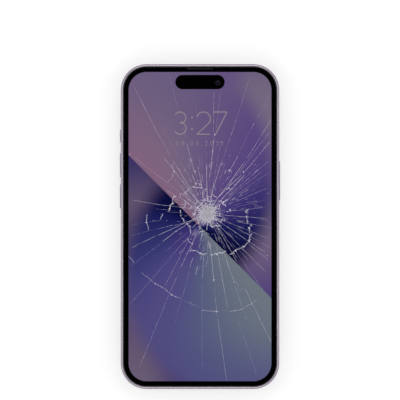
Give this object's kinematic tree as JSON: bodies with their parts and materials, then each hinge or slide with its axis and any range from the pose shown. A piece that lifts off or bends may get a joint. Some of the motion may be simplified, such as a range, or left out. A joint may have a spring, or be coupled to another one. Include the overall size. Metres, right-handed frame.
{
  "type": "shattered screen phone",
  "caption": "Flat pocket phone with a shattered front glass: cracks run out from a crushed spot; metal sides with keys, rear camera bump and a sliding card tray.",
  "frame": {"origin": "middle of the plane that the rear lens rings stand on, at the centre of the whole object's footprint", "axes": "+X right seen from the front, +Y towards the top edge with the earpiece, +Z out of the screen"},
  "size_m": [0.0728, 0.1472, 0.0104],
  "materials": {
    "frame_metal": "polished, tinted",
    "antenna_plastic": "satin",
    "plate_metal": "blasted",
    "back_glass": "frosted, opaque",
    "front_glass": "polished, shattered",
    "crushed_glass": "crushed, whitened",
    "dark_glass": "polished",
    "display": "lit, dimmed",
    "black_plastic": "satin",
    "sensor_plastic": "satin",
    "mesh_metal": "woven",
    "circuit_board": "satin",
    "can_metal": "satin",
    "battery_pouch": "satin",
    "ribbon": "satin",
    "coil_copper": "wound wire",
    "magnet": "plated",
    "contact_gold": "plated",
    "motor_metal": "satin",
    "speaker_plastic": "satin",
    "flash_resin": "clear yellow",
    "screw_metal": "machined"
  },
  "bodies": {
    "phone": {"side_frame": "frame_metal", "antenna_strips": "antenna_plastic", "mid_plate": "plate_metal", "back_glass": "back_glass", "lens_rings": "frame_metal", "lens_covers": "dark_glass", "flash_window": "flash_resin", "depth_window": "dark_glass", "wide_camera": "sensor_plastic", "tele_camera": "sensor_plastic", "ultra_wide_camera": "sensor_plastic", "camera_cover": "plate_metal", "rear_flash": "flash_resin", "depth_sensor": "sensor_plastic", "rear_microphone": "can_metal", "cover_glass": "front_glass", "glass_shards": "crushed_glass", "display_panel": "display", "display_shield": "can_metal", "display_carrier": "black_plastic", "front_camera": "sensor_plastic", "infrared_camera": "sensor_plastic", "dot_projector": "sensor_plastic", "front_sensor_bracket": "plate_metal", "earpiece_speaker": "speaker_plastic", "earpiece_mesh": "mesh_metal", "main_board": "circuit_board", "processor_shield": "can_metal", "radio_shield": "can_metal", "sim_reader": "can_metal", "battery": "battery_pouch", "battery_flex": "ribbon", "display_flex": "ribbon", "charging_flex": "ribbon", "charging_port": "can_metal", "port_contacts": "contact_gold", "port_board": "circuit_board", "haptic_motor": "motor_metal", "loudspeaker": "speaker_plastic", "bottom_microphone": "can_metal", "speaker_mesh": "mesh_metal", "charging_coil": "coil_copper", "alignment_magnets": "magnet", "volume_switch_strip": "ribbon", "side_switch_strip": "ribbon", "bottom_screws": "screw_metal", "board_screws": "screw_metal"},
    "volume_up": {"volume_up_button": "frame_metal"},
    "volume_down": {"volume_down_button": "frame_metal"},
    "side_key": {"side_button": "frame_metal"},
    "mute_lever": {"mute_switch": "frame_metal"},
    "card_tray": {"sim_tray": "frame_metal"}
  },
  "joints": [
    {"name": "volume_up_press", "type": "slide", "parent": "phone", "child": "volume_up", "axis": [1, 0, 0], "range_m": [0, 0.0003], "stiffness_N_per_m": 2000},
    {"name": "volume_down_press", "type": "slide", "parent": "phone", "child": "volume_down", "axis": [1, 0, 0], "range_m": [0, 0.0003], "stiffness_N_per_m": 2000},
    {"name": "side_key_press", "type": "slide", "parent": "phone", "child": "side_key", "axis": [-1, 0, 0], "range_m": [0, 0.0003], "stiffness_N_per_m": 2000},
    {"name": "mute_slide", "type": "slide", "parent": "phone", "child": "mute_lever", "axis": [0, 0, 1], "range_m": [-0.0008, 0]},
    {"name": "tray_slide", "type": "slide", "parent": "phone", "child": "card_tray", "axis": [-1, 0, 0], "range_m": [0, 0.0155]}
  ]
}
